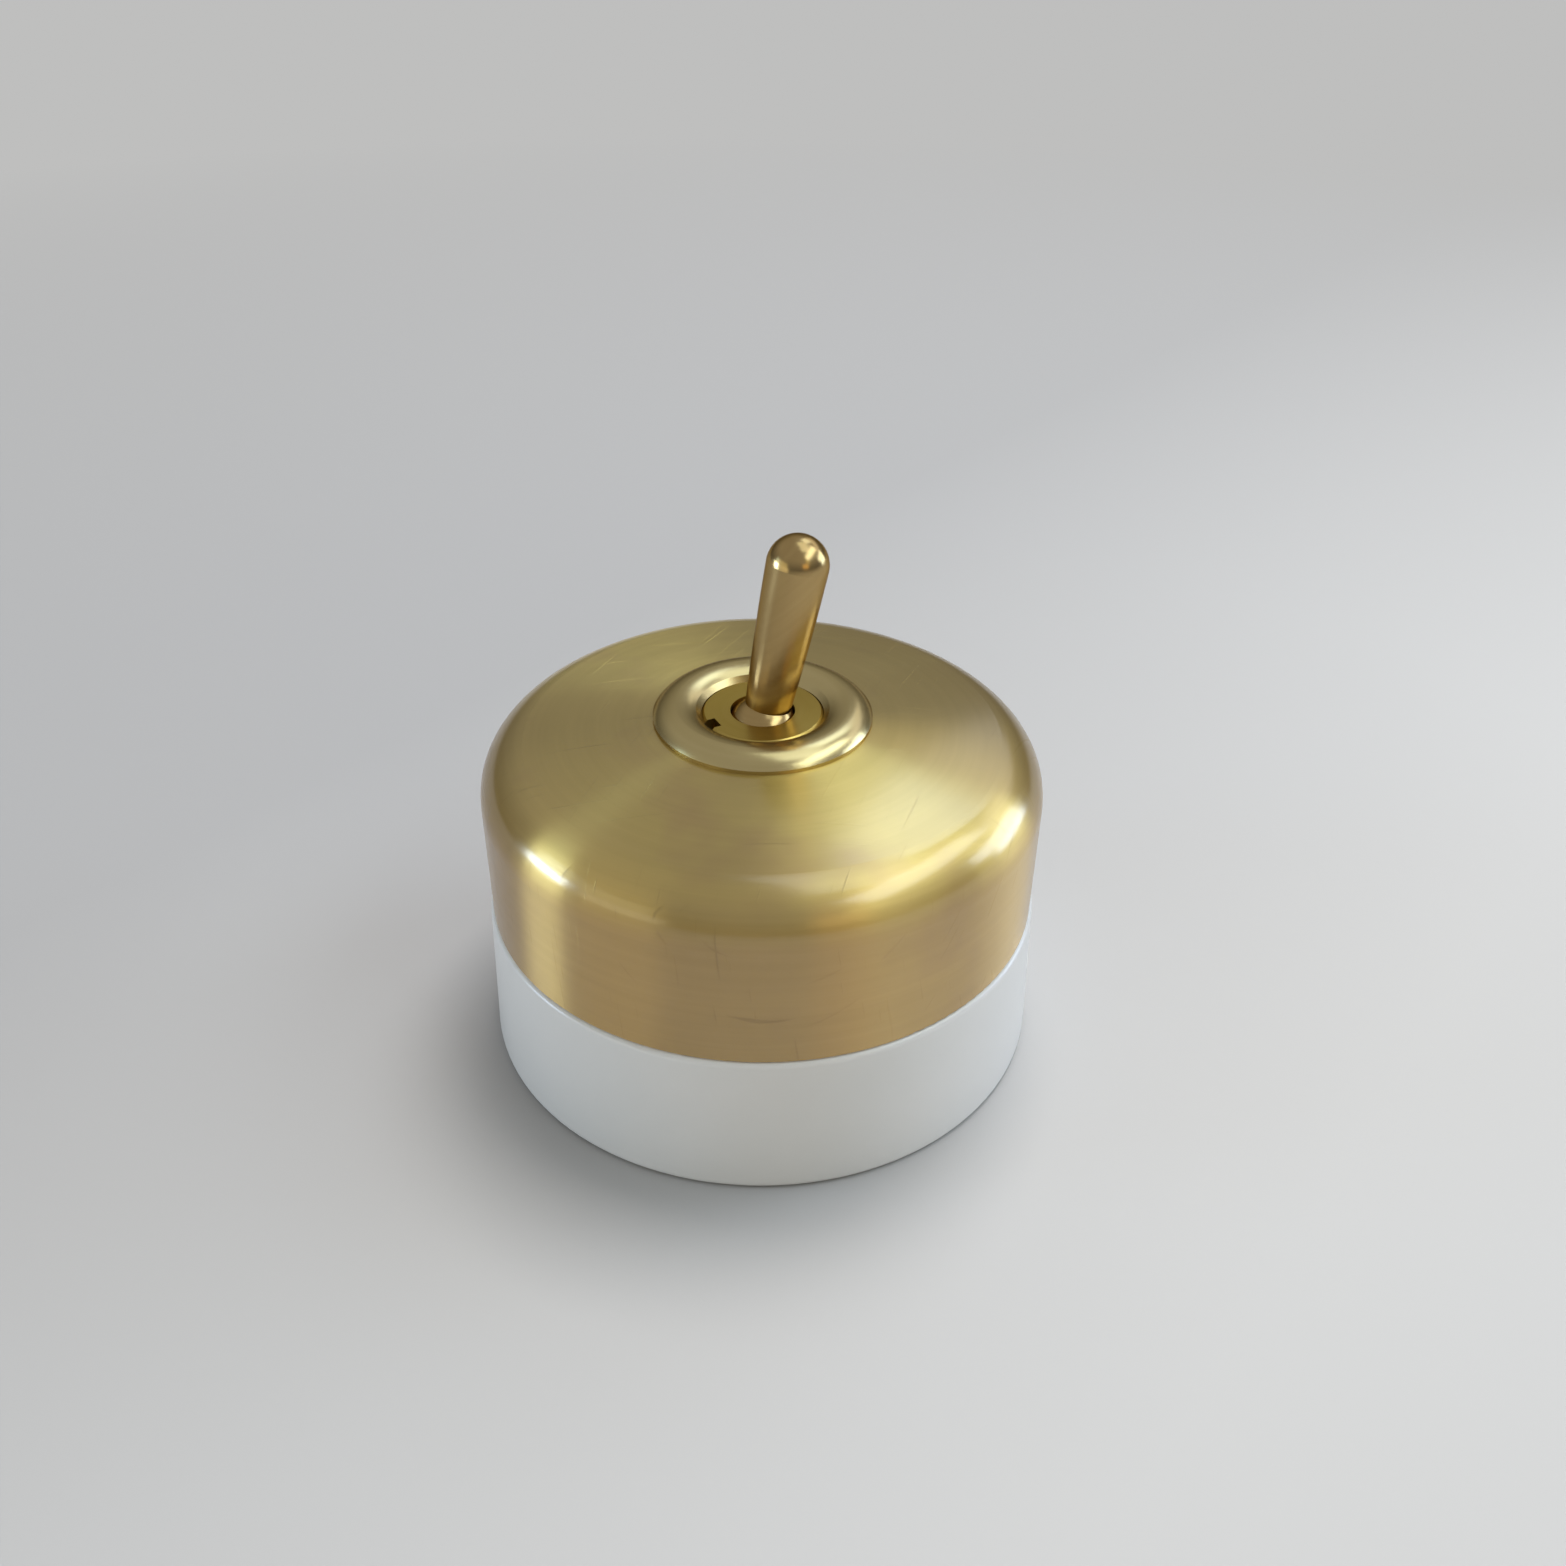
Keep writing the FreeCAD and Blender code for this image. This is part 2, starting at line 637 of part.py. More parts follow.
# Sprung plunger in the lever's tail
def make_plunger():
    nose = dim["nose_radius"]
    reach = dim["nose_reach"]
    back = dim["plunger_back"]
    peg = dim["plunger_peg_radius"]
    side = dim["plunger_radius"]
    neck = reach - dim["nose_neck"]
    step = side - nose
    body = turned("plunger", [
        corner(0, -reach - nose),
        corner(nose, -reach, nose, 1),
        corner(nose, -neck),
        corner(side, -neck + step),
        corner(side, -back),
        corner(peg, -back),
        corner(peg, -back + dim["plunger_peg_length"]),
        corner(0, -back + dim["plunger_peg_length"]),
    ])
    tilt(body, dim["pivot_height"], dim["lean"])
    return body


def make_plunger_spring():
    wire = dim["wire_radius"]
    low = -dim["plunger_back"] + wire
    height = dim["plunger_back"] - dim["tail_bore_top"] - wire * 2
    body = new_body("plunger_spring")
    sketch = new_sketch(body, "spring_wire", "XZ_Plane")
    circle = Part.Circle(FreeCAD.Vector(dim["coil_radius"].number, low.number, 0),
                         FreeCAD.Vector(0, 0, 1), wire.number)
    number = sketch.addGeometry(circle)
    pin_point(sketch, number, 3, dim["coil_radius"], low)
    index = sketch.addConstraint(Sketcher.Constraint("Radius", number, wire.number))
    bind(sketch, f"Constraints[{index}]", wire)
    helix = body.newObject("PartDesign::AdditiveHelix", "spring_coils")
    helix.Profile = sketch
    helix.ReferenceAxis = (sketch, ["V_Axis"])
    helix.Mode = "pitch-height-angle"
    bind(helix, "Pitch", height / dim["coil_turns"])
    bind(helix, "Height", height)
    doc.recompute()
    tilt(body, dim["pivot_height"], dim["lean"])
    return body


# Folded bridge that carries the bush over the mechanism
def make_bridge():
    top = dim["bridge_top"]
    sheet_size = dim["bridge_sheet"]
    under = top - sheet_size
    floor = dim["base_floor"]
    half = dim["bridge_half"]
    inner = half - sheet_size
    end = dim["bridge_foot_end"]
    half_width = dim["bridge_width"] / 2
    body = extruded("bridge_strap", [
        corner(-end, floor),
        corner(-inner, floor),
        corner(-inner, under),
        corner(inner, under),
        corner(inner, floor),
        corner(end, floor),
        corner(end, floor + sheet_size),
        corner(half, floor + sheet_size),
        corner(half, top),
        corner(-half, top),
        corner(-half, floor + sheet_size),
        corner(-end, floor + sheet_size),
    ], dim["bridge_width"])

    def long_edge_at(height):
        def picks(edge):
            if len(edge.Vertexes) != 2:
                return False
            first, last = (vertex.Point for vertex in edge.Vertexes)
            level = abs(first.z - height.number) < CLOSE and abs(last.z - height.number) < CLOSE
            upright_side = abs(abs(first.x) - half.number) < CLOSE
            return level and upright_side and abs(first.y - last.y) > half_width.number
        return picks

    round_edges(body, dim["bridge_bend"], long_edge_at(top))
    spigot_hole = rod("bridge_bush_hole", dim["bush_spigot_radius"], under - PAST, top + PAST)
    tools = [spigot_hole]
    for k, side in enumerate((1, -1)):
        place = dim["bridge_screw_place"] * side
        tools.append(rod(f"bridge_tapping{k}", dim["screw_radius"], floor - PAST, floor + sheet_size + PAST,
                         place))
    earth_hole = doc.addObject("Part::Cylinder", "earth_tapping")
    bind(earth_hole, "Radius", dim["screw_radius"])
    bind(earth_hole, "Height", sheet_size + PAST * 2)
    earth_hole.Placement.Rotation = FreeCAD.Rotation(FreeCAD.Vector(0, 1, 0), 90)
    bind(earth_hole, "Placement.Base.x", inner - PAST)
    bind(earth_hole, "Placement.Base.z", dim["earth_height"])
    return cut("bridge", body, tools + [earth_hole])


# Cheese-head screws
def screw(name, shank_length):
    """A slotted screw that stands on its head's underside, shank down from the origin."""
    head = rod(f"{name}_head", dim["screw_head_radius"], 0, dim["screw_head_height"])
    shank = rod(f"{name}_shank", dim["screw_radius"], -as_size(shank_length), 0)
    whole = join(f"{name}_whole", [head, shank])
    reach = dim["screw_head_radius"] + PAST
    half_slot = dim["screw_slot_width"] / 2
    slot = box(f"{name}_slot", (-reach, reach), (-half_slot, half_slot),
               (dim["screw_head_height"] - dim["screw_slot_depth"], dim["screw_head_height"] + PAST))
    result = doc.addObject("Part::Cut", name)
    result.Base = whole
    result.Tool = slot
    return result


def make_bridge_screws():
    pieces = []
    length = dim["base_floor"] + dim["bridge_sheet"] + dim["bridge_screw_end"] - dim["underside_recess"]
    for k, side in enumerate((1, -1)):
        piece = screw(f"bridge_screw{k}", length)
        over = FreeCAD.Rotation(FreeCAD.Vector(1, 0, 0), 180)
        piece.Placement = FreeCAD.Placement(FreeCAD.Vector(0, 0, 0), over)
        bind(piece, "Placement.Base.x", dim["bridge_screw_place"] * side)
        bind(piece, "Placement.Base.z", dim["underside_recess"])
        pieces.append(piece)
    return group("bridge_screws", pieces)


def make_earth_screw():
    piece = screw("earth_screw", dim["plate_washer"] + dim["bridge_sheet"] + dim["earth_screw_end"])
    outward = FreeCAD.Rotation(FreeCAD.Vector(0, 1, 0), 90)
    piece.Placement = FreeCAD.Placement(FreeCAD.Vector(0, 0, 0), outward)
    bind(piece, "Placement.Base.x", dim["bridge_half"] + dim["plate_washer"])
    bind(piece, "Placement.Base.z", dim["earth_height"])
    piece.Label = "earth_screw"
    return piece


def square_plate(name, side, height, hole):
    """A square plate with a round hole, its underside at the origin."""
    half = side / 2
    plate = box(f"{name}_plate", (-half, half), (-half, half), (0, height))
    bore = rod(f"{name}_bore", hole, -PAST, height + PAST)
    result = doc.addObject("Part::Cut", name)
    result.Base = plate
    result.Tool = bore
    return result


def make_earth_washer():
    hole = dim["screw_radius"] + dim["screw_play"]
    piece = square_plate("earth_washer", dim["nut_side"], dim["plate_washer"], hole)
    outward = FreeCAD.Rotation(FreeCAD.Vector(0, 1, 0), 90)
    piece.Placement = FreeCAD.Placement(FreeCAD.Vector(0, 0, 0), outward)
    bind(piece, "Placement.Base.x", dim["bridge_half"])
    bind(piece, "Placement.Base.z", dim["earth_height"])
    piece.Label = "earth_washer"
    return piece


# Where the three terminal screws stand: across, along
def clamp_places():
    return [
        (dim["live_place"] * -1, -dim["clamp_place"]),
        (dim["live_place"], -dim["clamp_place"]),
        (as_size(0), dim["clamp_place"]),
    ]


# Insulating block that holds the terminals
def make_mechanism_body():
    floor = dim["base_floor"]
    top = dim["bridge_top"] - dim["bridge_sheet"]
    level = dim["well_floor"]
    long_half = dim["tower_half_length"]
    wide_half = dim["tower_half_width"]
    ledge_half = dim["live_place"] + dim["strip_width"] / 2 + dim["live_ledge_side"]
    single_half = dim["common_width"] / 2 + dim["common_ledge_side"]
    tower = box("tower", (-long_half, long_half), (-wide_half, wide_half), (floor, top))
    live_ledge = box("live_ledge", (-ledge_half, ledge_half), (-dim["ledge_end"], 0), (floor, level))
    common_ledge = box("common_ledge", (-single_half, single_half), (0, dim["ledge_end"]), (floor, level))
    block = join("block", [tower, live_ledge, common_ledge])
    well = box("well", (-dim["well_half_length"], dim["well_half_length"]),
               (-dim["well_half_width"], dim["well_half_width"]), (level, top + PAST))
    mouth = rod("well_mouth", dim["well_mouth_radius"], top - dim["well_mouth_depth"], top + PAST)
    tools = [well, mouth]
    half_strip = dim["strip_width"] / 2
    strip_top = level + dim["strip"]
    for k, side in enumerate((1, -1)):
        middle = dim["live_place"] * side
        tools.append(box(f"live_slot{k}", (middle - half_strip, middle + half_strip),
                         (-wide_half - PAST, 0), (level, strip_top)))
    half_common = dim["common_width"] / 2
    tools.append(box("common_slot", (-half_common, half_common), (0, wide_half + PAST), (level, strip_top)))
    half_nut = dim["nut_side"] / 2 + dim["nut_play"]
    nut_top = dim["nut_foot"] + dim["square_nut_height"]
    for k, (across, along) in enumerate(clamp_places()):
        outward = 1 if along.number > 0 else -1
        inner_side = along - half_nut * outward
        outer_side = (dim["ledge_end"] + PAST) * outward
        low, high = (inner_side, outer_side) if outward > 0 else (outer_side, inner_side)
        tools.append(box(f"nut_pocket{k}", (across - half_nut, across + half_nut), (low, high),
                         (dim["nut_foot"], nut_top + dim["nut_play"])))
        tools.append(rod(f"clamp_hole{k}", dim["screw_radius"] + dim["screw_play"],
                         dim["nut_foot"] - dim["clamp_hole_end"], level + PAST, across, along))
    return cut("mechanism_body", block, tools)


# Terminal strips
def make_live_terminal(name, side):
    level = dim["well_floor"]
    top = level + dim["strip"]
    middle = dim["live_place"] * side
    half = dim["strip_width"] / 2
    plate = box(f"{name}_plate", (middle - half, middle + half),
                (-dim["strip_end"], dim["live_inner_end"]), (level, top))
    hole = rod(f"{name}_hole", dim["screw_radius"] + dim["screw_play"], level - PAST, top + PAST,
               middle, -dim["clamp_place"])
    neck = rod(f"{name}_neck", dim["contact_neck_radius"], level - PAST, top + PAST, middle)
    return cut(name, plate, [hole, neck])


def make_common_terminal():
    level = dim["well_floor"]
    top = level + dim["strip"]
    half = dim["common_width"] / 2
    outer = dim["cheek_gap"] / 2 + dim["strip"]
    inner = dim["cheek_gap"] / 2
    half_cheek = dim["cheek_width"] / 2
    fulcrum = dim["fulcrum_height"]
    plate = box("common_plate", (-half, half), (-outer, dim["strip_end"]), (level, top))
    pieces = [plate]
    for k, side in enumerate((1, -1)):
        low, high = (inner, outer) if side > 0 else (-outer, -inner)
        pieces.append(box(f"cheek{k}", (-half_cheek, half_cheek), (low, high), (level, dim["cheek_top"])))
    folded = join("common_folded", pieces)
    hole = rod("common_hole", dim["screw_radius"] + dim["screw_play"], level - PAST, top + PAST,
               0, dim["clamp_place"])
    pivot = cross_rod("common_pivot", dim["trunnion_radius"] + dim["pin_play"], (outer + PAST) * 2, fulcrum)
    return cut("common_terminal", folded, [hole, pivot])


def cradle_arc():
    """Radius of the rocker's cradle and its centre above the rocker's pivot.

    Seen from the rocker, the centre of the plunger's nose runs along an arc
    through its places at mid travel and at the end. The cradle is parallel to it.
    """
    lean = dim["lean"]
    turn = dim["rocker_tilt"]
    apart = dim["pivot_height"] - dim["fulcrum_height"]
    across = dim["nose_reach"] * sine(lean)
    up = apart - dim["nose_reach"] * cosine(lean)
    end_across = across * cosine(turn) - up * sine(turn)
    end_up = across * sine(turn) + up * cosine(turn)
    lowest = apart - dim["nose_reach"]
    rise = end_up - lowest
    path = (end_across * end_across + rise * rise) / (rise * 2)
    return path + dim["nose_radius"] + dim["nose_room"], lowest + path


# Rocker: the plunger's nose runs in its cradle and tips it from contact to contact
def make_rocker():
    length = dim["rocker_half_length"]
    foot = dim["wing_foot"]
    top = foot + dim["rocker_wing"]
    half = dim["cradle_half"]
    cradle, centre = cradle_arc()
    brim = centre - root(cradle * cradle - half * half)
    rim = half + dim["cradle_rim"]
    root_of_wing = half + dim["cradle_shoulder"]
    keel = dim["keel_half"]
    body = extruded("rocker_blade", [
        corner(-length, foot),
        corner(-length, top),
        corner(-root_of_wing, top),
        corner(-rim, brim),
        corner(-half, brim),
        corner(half, brim, cradle, 1),
        corner(rim, brim),
        corner(root_of_wing, top),
        corner(length, top),
        corner(length, foot),
        corner(keel * 2, foot),
        corner(keel, -keel),
        corner(-keel, -keel),
        corner(-keel * 2, foot),
    ], dim["rocker_width"])
    trunnions = cross_rod("trunnions", dim["trunnion_radius"], dim["trunnion_length"], 0)
    whole = join("rocker_whole", [body, trunnions])
    tools = []
    for k, side in enumerate((1, -1)):
        tools.append(rod(f"rivet_hole{k}", dim["contact_neck_radius"], foot - PAST, top + PAST,
                         dim["contact_place"] * side))
    rocker = cut("rocker", whole, tools)
    tilt(rocker, dim["fulcrum_height"], -dim["rocker_tilt"])
    return rocker


def make_moving_contacts():
    foot = dim["wing_foot"]
    top = foot + dim["rocker_wing"]
    pieces = []
    for k, side in enumerate((1, -1)):
        place = dim["contact_place"] * side
        face = rod(f"moving_face{k}", dim["moving_contact_radius"], -dim["moving_contact_foot"], foot, place)
        neck = rod(f"moving_neck{k}", dim["contact_neck_radius"], foot, top, place)
        head_top = top + dim["moving_contact_head"]
        head = rod(f"moving_head{k}", dim["moving_contact_radius"], top, head_top, place)
        pieces.append(join(f"moving_contact{k}", [face, neck, head]))
    contacts = group("moving_contacts", pieces)
    tilt(contacts, dim["fulcrum_height"], -dim["rocker_tilt"])
    return contacts


def make_fixed_contacts():
    level = dim["well_floor"]
    top = level + dim["strip"]
    pieces = []
    for k, side in enumerate((1, -1)):
        place = dim["live_place"] * side
        neck = rod(f"fixed_neck{k}", dim["contact_neck_radius"], level, top, place)
        head = rod(f"fixed_head{k}", dim["fixed_contact_radius"], top,
                   top + dim["fixed_contact_height"], place)
        pieces.append(join(f"fixed_contact{k}", [neck, head]))
    return group("fixed_contacts", pieces)


# Screw, washer and nut at each terminal
def make_clamps():
    level = dim["well_floor"] + dim["strip"]
    hole = dim["screw_radius"] + dim["screw_play"]
    seat = level + dim["plate_washer"]
    length = seat - dim["nut_foot"] + dim["clamp_screw_end"]
    screws = []
    washers = []
    nuts = []
    for k, (across, along) in enumerate(clamp_places()):
        washer = square_plate(f"clamp_washer{k}", dim["nut_side"], dim["plate_washer"], hole)
        nut = square_plate(f"terminal_nut{k}", dim["nut_side"], dim["square_nut_height"], dim["screw_radius"])
        bolt = screw(f"terminal_screw{k}", length)
        for piece, height in ((washer, level), (nut, dim["nut_foot"]), (bolt, seat)):
            for axis, value in zip("xyz", (across, along, height)):
                bind(piece, f"Placement.Base.{axis}", value)
        screws.append(bolt)
        washers.append(washer)
        nuts.append(nut)
    return [group("terminal_screws", screws), group("clamp_washers", washers), group("terminal_nuts", nuts)]


def make_all():
    """Every piece of the switch, from the wall outwards."""
    return [
        make_base(),
        make_mechanism_body(),
        make_live_terminal("terminal_one", -1),
        make_live_terminal("terminal_two", 1),
        make_common_terminal(),
        make_fixed_contacts(),
        make_rocker(),
        make_moving_contacts(),
        *make_clamps(),
        make_bridge(),
        make_bridge_screws(),
        make_earth_screw(),
        make_earth_washer(),
        make_bush(),
        make_cover_nut(),
        make_key_washer(),
        make_cover(),
        make_ring(),
        make_dolly(),
        make_pivot_pin(),
        make_plunger(),
        make_plunger_spring(),
    ]


pieces = make_all()
doc.recompute()

for thing in doc.Objects:
    if "Invalid" in thing.State or "Error" in thing.State:
        raise RuntimeError(f"{thing.Name} did not build: {thing.State}")
for piece in pieces:
    if piece.Shape.isNull() or not piece.Shape.isValid():
        raise RuntimeError(f"{piece.Label} is not a valid solid")

os.makedirs("parts", exist_ok=True)
for piece in pieces:
    piece.Shape.exportStep(f"parts/{piece.Label}.step")
    print(piece.Label, len(piece.Shape.Solids), round(piece.Shape.Volume, 1))
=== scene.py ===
import json
import math

import bpy
from mathutils import Matrix, Vector

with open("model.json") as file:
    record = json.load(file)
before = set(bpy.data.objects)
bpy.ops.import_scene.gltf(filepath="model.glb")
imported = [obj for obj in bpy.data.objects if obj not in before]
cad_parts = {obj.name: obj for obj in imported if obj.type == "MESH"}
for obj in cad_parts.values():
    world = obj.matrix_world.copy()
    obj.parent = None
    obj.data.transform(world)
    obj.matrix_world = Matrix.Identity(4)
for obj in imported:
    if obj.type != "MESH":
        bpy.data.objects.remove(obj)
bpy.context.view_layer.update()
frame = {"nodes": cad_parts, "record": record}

MM = 0.001
nodes = frame["nodes"]
scene = bpy.context.scene

# Sockets of the mix of two colours, whose names are shared with the mixes of numbers
MIX_FIRST = 6
MIX_SECOND = 7
MIX_RESULT = 2

# The range that most of a noise's values lie in
NOISE_RANGE = (0.3, 0.7)


# Node helpers for the materials
class Shade:
    """One material's node tree, with short calls to add and join nodes."""

    def __init__(self, name):
        self.material = bpy.data.materials.new(name + "_finish")
        self.material.use_nodes = True
        self.tree = self.material.node_tree
        self.surface = self.tree.nodes["Principled BSDF"]

    def add(self, kind, inputs=None, **settings):
        """A node with its properties set, and its input sockets set by name."""
        node = self.tree.nodes.new(kind)
        for key, value in settings.items():
            setattr(node, key, value)
        for key, value in (inputs or {}).items():
            node.inputs[key].default_value = value
        return node

    def join(self, out_socket, in_socket):
        self.tree.links.new(out_socket, in_socket)

    def set(self, **values):
        """Plain values on the surface shader's own sockets."""
        for key, value in values.items():
            self.surface.inputs[key.replace("_", " ")].default_value = value

    def drive(self, **sockets):
        """Sockets of the surface shader that follow other nodes."""
        for key, socket in sockets.items():
            self.join(socket, self.surface.inputs[key.replace("_", " ")])

    def place(self):
        """Place on the object in metres."""
        return self.add("ShaderNodeTexCoord").outputs["Object"]

    def along_axes(self, vector):
        """A vector's three numbers."""
        parts = self.add("ShaderNodeSeparateXYZ")
        self.join(vector, parts.inputs[0])
        return parts.outputs

    def math(self, operation, first, second=None):
        node = self.add("ShaderNodeMath", operation=operation)
        for k, value in enumerate((first, second)):
            if value is None:
                continue
            if isinstance(value, (int, float)):
                node.inputs[k].default_value = value
            else:
                self.join(value, node.inputs[k])
        return node.outputs[0]

    def vector_math(self, operation, vector, amounts):
        node = self.add("ShaderNodeVectorMath", operation=operation)
        self.join(vector, node.inputs[0])
        node.inputs[1].default_value = amounts
        return node.outputs[0]

    def noise(self, place, scale, detail=2.0, roughness=0.5):
        node = self.add("ShaderNodeTexNoise", {"Scale": scale, "Detail": detail, "Roughness": roughness})
        self.join(place, node.inputs["Vector"])
        return node.outputs["Fac"]

    def spread(self, value, low, high, to_low=0.0, to_high=1.0):
        """A value's range mapped to another range, held at its ends."""
        ends = {"From Min": low, "From Max": high, "To Min": to_low, "To Max": to_high}
        node = self.add("ShaderNodeMapRange", ends)
        self.join(value, node.inputs["Value"])
        return node.outputs["Result"]

    def blend(self, share, first, second):
        """One colour turning into another."""
        node = self.add("ShaderNodeMix", data_type="RGBA")
        self.join(share, node.inputs["Factor"])
        for key, value in ((MIX_FIRST, first), (MIX_SECOND, second)):
            if isinstance(value, tuple):
                node.inputs[key].default_value = (*value, 1.0)
            else:
                self.join(value, node.inputs[key])
        return node.outputs[MIX_RESULT]

    def bump(self, height, strength, distance, under=None):
        """A surface raised by a height, on top of another one's bumps if given."""
        node = self.add("ShaderNodeBump", {"Strength": strength, "Distance": distance})
        self.join(height, node.inputs["Height"])
        if under is not None:
            self.join(under, node.inputs["Normal"])
        return node.outputs["Normal"]


# Turned brass. Noise scales are per metre, and heights and pitches are in metres.
EDGE_TINT = (0.6, 0.5, 0.38)    # of reflections at a glancing angle
STRETCH_TURN = 0.25    # a quarter turn, which draws the highlights out across the turning lines
COAT_ROUGHNESS = 0.18
COAT_IOR = 1.7
TONE_SHARE = 0.5    # half the tone from the slow drift and half from the streaks
DRIFT_SCALE = 60.0
DRIFT_RANGE = (0.35, 0.65)
STREAK_ROUND = 25.0
STREAK_ACROSS = 900.0
STREAK_RANGE = (0.35, 0.7)
LINE_ROUND = 60.0
LINE_WOBBLE = (0.93, 1.07)    # times the roughness, from line to line
TARNISH = (0.44, 0.27, 0.11)
TARNISH_SCALE = 48.0
TARNISH_RANGE = (0.56, 0.72)
TARNISH_MOST = 0.5    # share of the tarnish colour in the middle of a patch
SCRATCH_TILT = (math.radians(18), math.radians(-12))
SCRATCH_SCALE = (70.0, 2600.0, 150.0)
SCRATCH_RANGE = (0.69, 0.74)
SCRATCH_SETS = ((25, 0.0), (140, 7.0))    # turn in degrees, shift of the pattern
SCRATCH_ROUGHNESS = 0.12
SCRATCH_BUMP = 0.6
SCRATCH_HEIGHT = 0.00001

BRASSES = {
    "cover_brass": {
        "colours": ((0.515, 0.335, 0.105), (0.575, 0.375, 0.125)),
        "roughness": 0.39,
        "stretch": 1.0,
        "line_pitch": 0.00012,
        "line_height": 0.000006,
        "crown": {
            "from_to": (33 * MM, 39.5 * MM),
            # Painted light: these colours make the upper part lighter and yellower than the skirt's colours
            # above
            "colours": ((0.56, 0.42, 0.115), (0.63, 0.475, 0.14)),
            "roughness": 0.30,
        },
        "coat": 1.0,
        "worn": True,
    },
    "ring_brass": {
        "colours": ((0.52, 0.42, 0.20), (0.58, 0.47, 0.24)),
        "roughness": 0.24,
        "stretch": 0.3,
        "line_pitch": 0.0002,
        "line_height": 0.000002,
    },
    "bush_brass": {
        "colours": ((0.46, 0.33, 0.08), (0.52, 0.38, 0.11)),
        "roughness": 0.3,
        "stretch": 0.4,
        "line_pitch": 0.00015,
        "line_height": 0.000005,
    },
    "lever_brass": {
        "colours": ((0.40, 0.27, 0.11), (0.48, 0.34, 0.15)),
        "roughness": 0.22,
        "stretch": 0.3,
        "line_pitch": 0.0002,
        "line_height": 0.000003,
    },
}


def ring_place(shade, around, across):
    """A place that changes slowly round the axis and fast across the turning lines."""
    x, y, z = shade.along_axes(shade.place())
    radius = shade.math("SQRT", shade.math("ADD", shade.math("MULTIPLY", x, x), shade.math("MULTIPLY", y, y)))
    outward = shade.math("SUBTRACT", radius, z)
    joined = shade.add("ShaderNodeCombineXYZ")
    for k, (value, scale) in enumerate(((x, around), (y, around), (outward, across))):
        shade.join(shade.math("MULTIPLY", value, scale), joined.inputs[k])
    return joined.outputs[0]


def scratches(shade, turn, shift):
    """Thin straight marks, mostly along one direction over the face, 1 on a mark and 0 beside it."""
    turned = shade.add("ShaderNodeVectorRotate", rotation_type="EULER_XYZ")
    turned.inputs["Rotation"].default_value = (*SCRATCH_TILT, math.radians(turn))
    shade.join(shade.place(), turned.inputs["Vector"])
    long_marks = shade.vector_math("MULTIPLY", turned.outputs[0], SCRATCH_SCALE)
    moved = shade.vector_math("ADD", long_marks, (shift, shift, shift))
    return shade.spread(shade.noise(moved, 1.0, detail=1.0), *SCRATCH_RANGE)


def turned_metal(name, colours, roughness, stretch, line_pitch, line_height, crown=None, coat=0.0,
                 worn=False):
    """Brass with fine lines round its axis, and tones that drift over it.

    stretch is how far its highlights are drawn out across the lines, which line_pitch sets apart.
    crown gives the colours and roughness of the upper part, and the heights between which they take over. Its
    colours are painted light: lighter and yellower than the colours below it.
    coat is the share of clear lacquer on it. worn adds scratches and a few redder patches.
    """
    shade = Shade(name)
    shade.set(Metallic=1.0, Anisotropic=stretch, Anisotropic_Rotation=STRETCH_TURN)
    shade.set(Specular_Tint=(*EDGE_TINT, 1.0))
    shade.set(Coat_Weight=coat, Coat_Roughness=COAT_ROUGHNESS, Coat_IOR=COAT_IOR)
    tangent = shade.add("ShaderNodeTangent", direction_type="RADIAL", axis="Z")
    drift = shade.spread(shade.noise(shade.place(), DRIFT_SCALE, detail=3.0), *DRIFT_RANGE)
    streaks = shade.noise(ring_place(shade, STREAK_ROUND, STREAK_ACROSS), 1.0, detail=3.0)
    streak = shade.spread(streaks, *STREAK_RANGE)
    tone = shade.math("MULTIPLY", shade.math("ADD", drift, streak), TONE_SHARE)
    colour = shade.blend(tone, *colours)
    lines = shade.noise(ring_place(shade, LINE_ROUND, 1.0 / line_pitch), 1.0, detail=3.0, roughness=0.7)
    wobble = shade.spread(lines, *NOISE_RANGE, *LINE_WOBBLE)
    level = roughness
    if crown:
        height = shade.along_axes(shade.place())[2]
        low, high = crown["from_to"]
        # Painted light: the upper part takes lighter, yellower colours than the sides below it
        colour = shade.blend(shade.spread(height, low, high), colour, shade.blend(tone, *crown["colours"]))
        level = shade.spread(height, low, high, roughness, crown["roughness"])
    rough = shade.math("MULTIPLY", wobble, level)
    normal = shade.bump(lines, strength=1.0, distance=line_height)
    if worn:
        patches = shade.noise(shade.place(), TARNISH_SCALE, detail=3.0, roughness=0.6)
        colour = shade.blend(shade.spread(patches, *TARNISH_RANGE, 0.0, TARNISH_MOST), colour, TARNISH)
        marks = shade.math("MAXIMUM", *(scratches(shade, *one_set) for one_set in SCRATCH_SETS))
        rough = shade.math("ADD", rough, shade.math("MULTIPLY", marks, SCRATCH_ROUGHNESS))
        normal = shade.bump(marks, SCRATCH_BUMP, SCRATCH_HEIGHT, normal)
    shade.drive(Base_Color=colour, Roughness=rough, Normal=normal, Tangent=tangent.outputs[0])
    return shade.material


# Rolled strip, screws and contact faces: two tones and the middle roughness
PLAIN_METALS = {
    "strip_brass": (((0.62, 0.48, 0.22), (0.72, 0.58, 0.30)), 0.3),
    "screw_steel": (((0.52, 0.52, 0.52), (0.64, 0.64, 0.63)), 0.28),
    "contact_metal": (((0.74, 0.74, 0.72), (0.84, 0.84, 0.82)), 0.25),
}
BLOTCH_SCALE = 250.0
RUB_SCALE = (900.0, 4000.0, 900.0)
RUB_SMOOTH = 0.8
RUB_ROUGH = 1.3
RUB_HEIGHT = 0.00002


